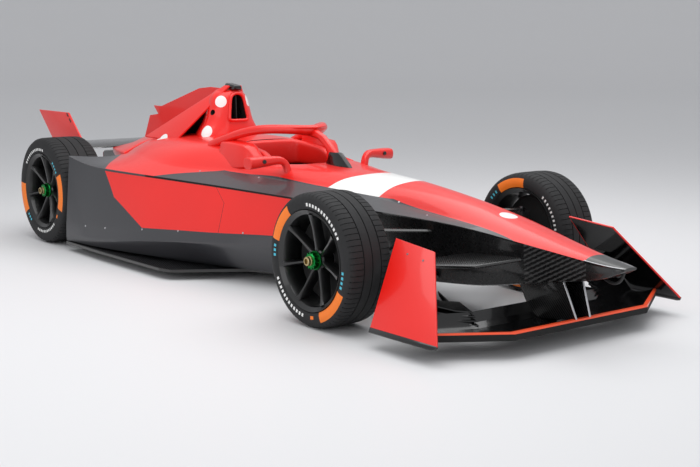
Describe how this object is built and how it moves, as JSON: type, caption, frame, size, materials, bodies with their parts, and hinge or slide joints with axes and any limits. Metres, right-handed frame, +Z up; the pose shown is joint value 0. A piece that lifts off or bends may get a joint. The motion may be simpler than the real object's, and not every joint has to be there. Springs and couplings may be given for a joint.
{
  "type": "open wheel racing car",
  "caption": "Open wheel single-seat racing car with halo, steered front wheels, covered delta-shaped body and four free-turning wheels.",
  "frame": {"origin": "on the ground under the middle of the car's length and width", "axes": "+X forward towards the nose, +Y to the driver's left, +Z up"},
  "size_m": [5.0162, 1.7002, 1.0699],
  "materials": {
    "red_paint": "gloss",
    "carbon": "satin",
    "black_case": "matte",
    "headrest_foam": "satin",
    "seat_foam": "matte",
    "grip": "matte",
    "lamp": "gloss",
    "alloy": "satin",
    "tyre": "matte",
    "rim_black": "satin",
    "nut_green": "satin"
  },
  "bodies": {
    "chassis": {"survival_cell": "red_paint", "footwell_shell": "red_paint", "nose": "red_paint", "sidepod_left": "red_paint", "sidepod_right": "red_paint", "engine_cover": "red_paint", "shark_fin": "red_paint", "tail_cover": "red_paint", "halo": "red_paint", "mirror_left": "red_paint", "mirror_right": "red_paint", "front_end_plate_left": "red_paint", "front_end_plate_right": "red_paint", "rear_wing_plate_left": "red_paint", "rear_wing_plate_right": "red_paint", "floor": "carbon", "diffuser": "carbon", "front_wing": "carbon", "front_flaps": "carbon", "rear_wing": "carbon", "front_wishbones_left": "carbon", "front_wishbones_right": "carbon", "rear_wishbones_left": "carbon", "rear_wishbones_right": "carbon", "tail": "carbon", "steering_column": "carbon", "battery": "black_case", "powertrain": "black_case", "camera_pod": "black_case", "halo_fairing": "black_case", "cockpit_surround": "red_paint", "headrest": "headrest_foam", "seat": "seat_foam", "rain_light": "lamp", "rear_upright_left": "alloy", "rear_upright_right": "alloy"},
    "knuckle_left": {"front_knuckle_left": "alloy"},
    "track_rod_left": {"track_rod_left": "carbon"},
    "wheel_front_left": {"front_left_rim": "rim_black", "front_left_tyre": "tyre", "front_left_nut": "nut_green"},
    "wheel_rear_left": {"rear_left_rim": "rim_black", "rear_left_tyre": "tyre", "rear_left_nut": "nut_green"},
    "knuckle_right": {"front_knuckle_right": "alloy"},
    "track_rod_right": {"track_rod_right": "carbon"},
    "wheel_front_right": {"front_right_rim": "rim_black", "front_right_tyre": "tyre", "front_right_nut": "nut_green"},
    "wheel_rear_right": {"rear_right_rim": "rim_black", "rear_right_tyre": "tyre", "rear_right_nut": "nut_green"},
    "steering_wheel": {"steering_wheel": "grip"}
  },
  "joints": [
    {"name": "steer_right", "type": "hinge", "parent": "chassis", "child": "knuckle_right", "pos_m": [1.2551, -0.6, 0.3265], "axis": [0, 0, 1], "range_deg": [-20, 20]},
    {"name": "steer_left", "type": "hinge", "parent": "chassis", "child": "knuckle_left", "pos_m": [1.2551, 0.6, 0.3265], "axis": [0, 0, 1], "range_deg": [-20, 20]},
    {"name": "track_rod_pivot_right", "type": "hinge", "parent": "knuckle_right", "child": "track_rod_right", "pos_m": [1.1431, -0.6, 0.292], "axis": [0, 0, 1], "range_deg": [-20, 20]},
    {"name": "track_rod_pivot_left", "type": "hinge", "parent": "knuckle_left", "child": "track_rod_left", "pos_m": [1.1431, 0.6, 0.292], "axis": [0, 0, 1], "range_deg": [-20, 20]},
    {"name": "spin_front_left", "type": "hinge", "parent": "knuckle_left", "child": "wheel_front_left", "pos_m": [1.2551, 0.7125, 0.3265], "axis": [0, 1, 0], "continuous": true},
    {"name": "spin_rear_left", "type": "hinge", "parent": "chassis", "child": "wheel_rear_left", "pos_m": [-1.7154, 0.6835, 0.3463], "axis": [0, 1, 0], "continuous": true},
    {"name": "spin_front_right", "type": "hinge", "parent": "knuckle_right", "child": "wheel_front_right", "pos_m": [1.2551, -0.7125, 0.3265], "axis": [0, 1, 0], "continuous": true},
    {"name": "spin_rear_right", "type": "hinge", "parent": "chassis", "child": "wheel_rear_right", "pos_m": [-1.7154, -0.6835, 0.3463], "axis": [0, 1, 0], "continuous": true},
    {"name": "steering_wheel_turn", "type": "hinge", "parent": "chassis", "child": "steering_wheel", "pos_m": [0.1601, 0, 0.545], "axis": [-0.9272, 0, 0.3746], "range_deg": [-120, 120]}
  ],
  "couplings": [
    {"joint": "steer_left", "follows": "steer_right", "ratio": 1},
    {"joint": "track_rod_pivot_right", "follows": "steer_right", "ratio": -1},
    {"joint": "track_rod_pivot_left", "follows": "steer_right", "ratio": -1},
    {"joint": "steering_wheel_turn", "follows": "steer_right", "ratio": 6}
  ]
}
